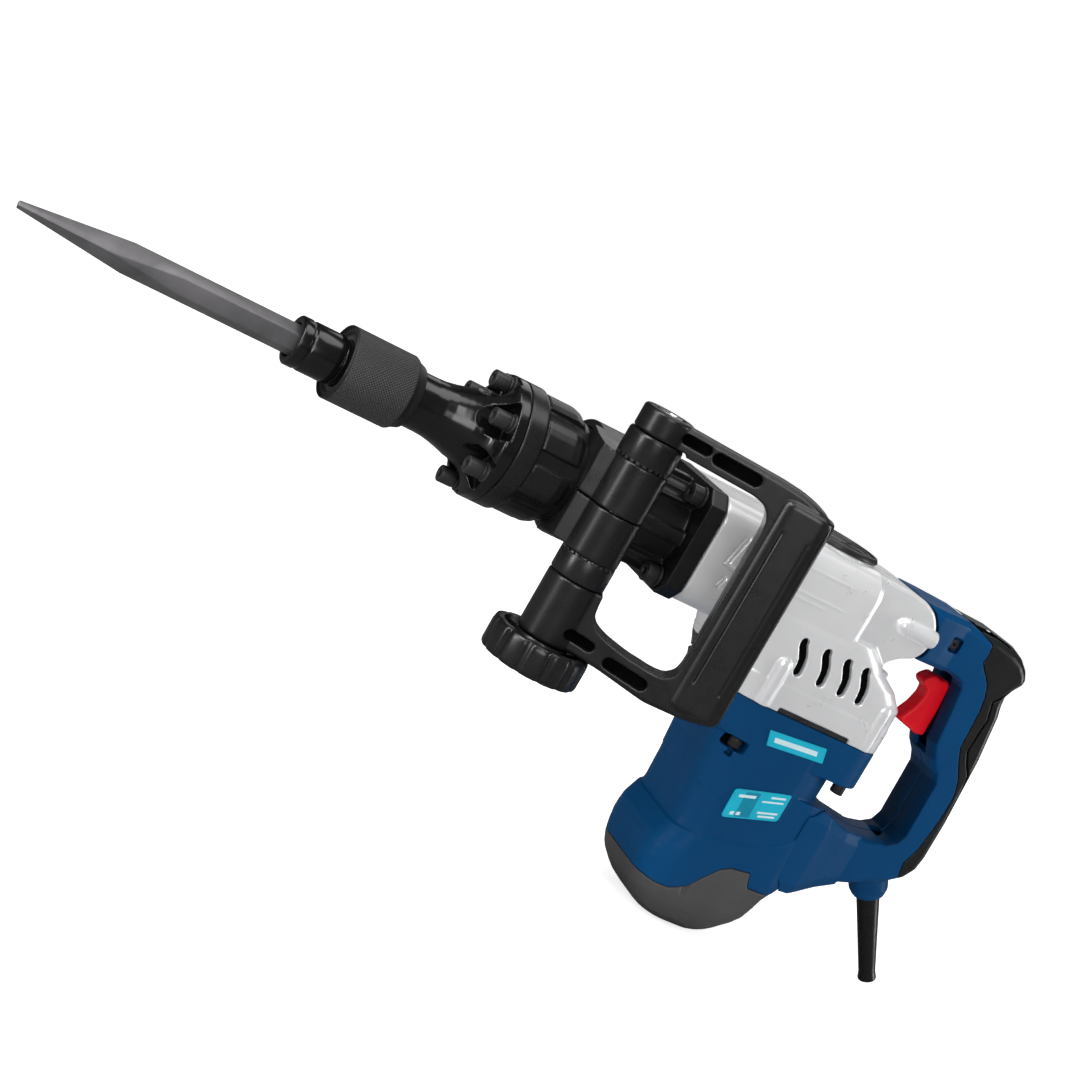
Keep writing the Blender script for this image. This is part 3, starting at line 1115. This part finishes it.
def handle_solid(name, mat):
    solid = to_object(name, loft([[(x, y, z) for x, z in side_outline(d)] for y, d in SLICES]), mat)
    boss = turned(softened([(-30.0, 0), (-30.0, 11.0), (-24.0, 14.0), (-8.0, 13.4), (-3.0, 11.0),
                            (-2.2, 9.8), (-2.2, 0)], 1.0, closed=False), CORD_TOP, ALONG_CORD, 36)
    add(solid, arm(LOWER_ARM, 7, 8), arm(UPPER_ARM, 4, 3), boss)
    return solid


# region of the rubber pad, as x, z
PAD_LINE = [(346, 40.0), (350, 33.5), (362, 30.6), (373.2, 26.6), (374.2, 20), (374, 13.0),
            (377.5, 8.8), (382, 5.0), (386, 0.5), (389.6, -8), (391.5, -18.0), (392.6, -32),
            (393.5, -45.0), (399, -55), (406, -66.0), (409.4, -76), (410, -89.0), (409, -104),
            (407, -120.0), (402.6, -132.0), (404, -140), (408, -145.5), (430, -145.5), (430, 40.0)]
HANDLE_SCREW = (347.0, 0, 15.0)

for side, sign in SIDES:
    shell = handle_solid("vis_rear_handle_" + side, BLUE_GRIP)
    if sign < 0:
        screw_opening = flank(round_rect(342.2, 351.8, 9.8, 20.2, 1.6, 3), sign, 17.2, 60)
    else:
        screw_opening = rod(-60.0, 60.0, 2.2, HANDLE_SCREW, ALONG_Y, 12)
    cut(shell,
        box(250, 450, *sorted((sign * 0.22, -sign * 90)), -260, 90),
        prism(inset(PAD_LINE, -0.45), -60, 60),
        prism(inset(FLAT, 3.6), -16.0, 16.0),
        prism(WALL_FACE, -60, 60),
        box(340, 382, -8.3, 8.3, -60.0, 4.0),
        rod(-50, 20, 8.5, CORD_TOP, ALONG_CORD, 24),
        screw_opening,
        # the lower arm laps over the motor housing's rounded rear corners with a thin seam
        shell_loft(((-112.0, 220.0, 321.45, HALF_W - 0.35), (-140.0, 222.0, 321.45, HALF_W - 0.35),
                    (-166.0, 222.0, 321.45, HALF_W + 0.45), (-178.0, 217.0, 321.3, 46.5),
                    (-185.0, 216.0, 318.0, 46.7))))
    cast(shell, voxel=0.6, passes=4)
    stand_for(shell, "rear_handle_" + side)

# ------------------------------------------------------------------ grip pad
pad = handle_solid("vis_rear_grip_pad", RUBBER)
keep(pad, prism(PAD_LINE, -60, 60))
# the pad's upper rear bump
add(pad, loft([[(400.0, y, 27.4 - d), (410.4, y, 21.6 - d), (417.4 - d * 1.4, y, 13.6 - d * 0.3),
                (416.6 - d * 1.4, y, 11.6), (408.6, y, 3.4 + d), (398.0, y, 10.0)]
               for y, d in ((-14.0, 3.4), (-12.0, 1.6), (-8.0, 0.3), (8.0, 0.3), (12.0, 1.6),
                            (14.0, 3.4))]))
cut(pad, prism([(x - 5.5, z) for x, z in inset(FLAT, 0.4)], -16.4, 16.4),
    rod(-50, 20, 8.5, CORD_TOP, ALONG_CORD, 24))
GROOVE = [(404.5, 3.5), (401.6, -2), (396.4, -8), (400.4, -20), (399.8, -45), (404.6, -53),
          (410.4, -60), (413.4, -72), (414.0, -92)]
for _, sign in SIDES:
    cut(pad, flank(ribbon(GROOVE, 0.8), sign, 15.2, 40.0))
cast(pad, voxel=0.5, passes=2)
stand_for(pad, "rear_grip_pad")

# ------------------------------------------------------------------ trigger
# x, z
TRIGGER = [(350.4, -17.6), (351.6, -14.8), (355.4, -11.2), (358.0, -10.4), (362.6, -11.6),
           (367.4, -10.6), (371.0, -13.0), (372.4, -34.0), (372.4, -51.0), (366.4, -52.0),
           (350.0, -48.4), (349.6, -46.2), (355.0, -35.6), (357.2, -27.0), (356.6, -21.8),
           (352.6, -20.2)]
trigger = to_object("vis_trigger", loft([
    [(x, y, z) for x, z in inset(rounded(TRIGGER[::-1], 1.2, 3), depth)] for y, depth in
    ((-7.4, 1.5), (-6.9, 0.7), (-5.9, 0.1), (5.9, 0.1), (6.9, 0.7), (7.4, 1.5))]), RED,
    origin=(368.0, 0, -12.0))
cast(trigger, voxel=0.45, passes=2)
stand_for(trigger, "trigger")

cap_screw("handle_screw_1", HANDLE_SCREW, name="vis_handle_screw", head=(-19.6, -16.9),
          head_radius=3.8, socket=2.6, shank_radius=1.6, end=18.0, axis=ALONG_Y)

# ------------------------------------------------------------------ cord guard
guard = to_object("vis_cord_guard", turned(softened([
    (-22.0, 4.4), (-22.0, 7.8), (-2.0, 8.2), (0.0, 8.0), (6.0, 7.7), (20.0, 7.2), (36.0, 6.6),
    (50.0, 6.1), (58.0, 5.8), (60.6, 6.2), (62.6, 6.5), (63.8, 6.1), (64.0, 4.4)], 0.5, 2),
    CORD_TOP, ALONG_CORD, 48, closed=True), CORD, origin=tuple(CORD_TOP))
stand_for(guard, "cord_guard")

# ------------------------------------------------------------------ floor, in metres
VIEW_TURN = math.radians(-25.2)    # camera and floor, about the vertical
SWEEP_FROM, SWEEP_FLAT, SWEEP_R, SWEEP_TOP = -9.0, 2.6, 1.6, 9.0
SWEEP_HALF = 14.0

floor_mat = bpy.data.materials.new("look_floor")
floor_mat.use_nodes = True
tree = floor_mat.node_tree
bsdf = tree.nodes.get("Principled BSDF")
coords = tree.nodes.new("ShaderNodeTexCoord").outputs["Object"]
cloud = noise(tree, coords, 1.7, detail=4.0, rough=0.6)
paper = mix_color(tree, cloud, grey(0.90), grey(0.94))
bsdf.inputs["Roughness"].default_value = 0.85
# the paper sweep stays pale to the eye without lighting the tool from below, and the glossy
# blacks mirror a dark grey instead of the paper
rays = tree.nodes.new("ShaderNodeLightPath").outputs
tree.links.new(mix_color(tree, rays["Is Glossy Ray"], paper, grey(0.16)),
               bsdf.inputs["Base Color"])
bsdf.inputs["Emission Color"].default_value = (1.0, 1.0, 1.0, 1.0)
tree.links.new(maths(tree, "MULTIPLY", rays["Is Camera Ray"], 0.74),
               bsdf.inputs["Emission Strength"])

sweep = bmesh.new()
outline = [(SWEEP_FROM, 0.0), (SWEEP_FLAT, 0.0)]
for k in range(1, 17):
    turn = math.radians(90 * k / 16)
    outline.append((SWEEP_FLAT + SWEEP_R * math.sin(turn), SWEEP_R - SWEEP_R * math.cos(turn)))
outline.append((SWEEP_FLAT + SWEEP_R, SWEEP_TOP))
rows = [[sweep.verts.new(Vector((x, y, z - 0.0004))) for x in (-SWEEP_HALF, SWEEP_HALF)]
        for y, z in outline]
for near, far in zip(rows, rows[1:]):
    sweep.faces.new((near[0], near[1], far[1], far[0]))
mesh = bpy.data.meshes.new("studio_sweep")
sweep.to_mesh(mesh)
sweep.free()
mesh.materials.append(floor_mat)
mesh.shade_smooth()
floor = bpy.data.objects.new("studio_sweep", mesh)
floor.rotation_euler = (0, 0, VIEW_TURN)
bpy.context.scene.collection.objects.link(floor)

# ------------------------------------------------------------------ world and lights
world = bpy.data.worlds.new("studio")
bpy.context.scene.world = world
world.use_nodes = True
tree = world.node_tree
background = tree.nodes["Background"]
background.inputs["Color"].default_value = (1.0, 1.0, 1.0, 1.0)
# bright to the camera, dim as a light
rays = tree.nodes.new("ShaderNodeLightPath").outputs
tree.links.new(span(tree, rays["Is Camera Ray"], (0.0, 1.0), (0.14, 0.96)),
               background.inputs["Strength"])


def lamp(name, *, at, target, size, power):
    """Rectangular area light; metres and watts."""
    data = bpy.data.lights.new(name, "AREA")
    data.shape = "RECTANGLE"
    data.size, data.size_y = size
    data.energy = power
    obj = bpy.data.objects.new(name, data)
    obj.location = at
    obj.rotation_mode = "QUATERNION"
    obj.rotation_quaternion = (Vector(target) - Vector(at)).to_track_quat("-Z", "Y")
    bpy.context.scene.collection.objects.link(obj)


lamp("key", at=(-1.7, -0.6, 1.9), target=(-0.1, 0, 0.2), size=(0.8, 1.3), power=30)
lamp("side", at=(2.0, -0.6, 0.55), target=(0.0, 0, 0.15), size=(0.3, 1.3), power=16)
lamp("band", at=(-2.3, -0.5, 0.6), target=(0.0, 0, 0.2), size=(0.3, 1.3), power=19)
lamp("front", at=(-0.7, -2.5, 0.9), target=(-0.05, 0, 0.15), size=(1.0, 1.0), power=15.0)
lamp("top", at=(0.1, -0.2, 1.9), target=(-0.1, 0, 0.1), size=(1.0, 1.0), power=8)
lamp("rim", at=(0.8, 1.3, 1.3), target=(-0.1, 0, 0.2), size=(1.1, 1.1), power=3.5)
lamp("strip", at=(-0.5, -1.7, 1.8), target=(-0.15, 0, 0.2), size=(0.18, 1.4), power=6)

# ------------------------------------------------------------------ camera
CAMERA_AT = (-0.8614, -1.3744, 0.4287)
CAMERA_RISE, CAMERA_ROLL = math.radians(9.0), math.radians(29.7)

camera = bpy.data.cameras.new("camera")
camera.lens, camera.sensor_width = 83.33, 36.0
camera.clip_start, camera.clip_end = 0.02, 40.0
cam = bpy.data.objects.new("camera", camera)
back = Vector((math.sin(VIEW_TURN) * math.cos(CAMERA_RISE),
               -math.cos(VIEW_TURN) * math.cos(CAMERA_RISE), math.sin(CAMERA_RISE)))
right = Vector((math.cos(VIEW_TURN), math.sin(VIEW_TURN), 0.0))
up = back.cross(right)
cosine, sine = math.cos(CAMERA_ROLL), math.sin(CAMERA_ROLL)
rolled_right, rolled_up = right * cosine + up * sine, right * -sine + up * cosine
cam.matrix_world = Matrix.Translation(CAMERA_AT) @ Matrix(
    (rolled_right, rolled_up, back)).transposed().to_4x4()
bpy.context.scene.collection.objects.link(cam)
bpy.context.scene.camera = cam
bpy.context.scene.view_settings.view_transform = "Standard"
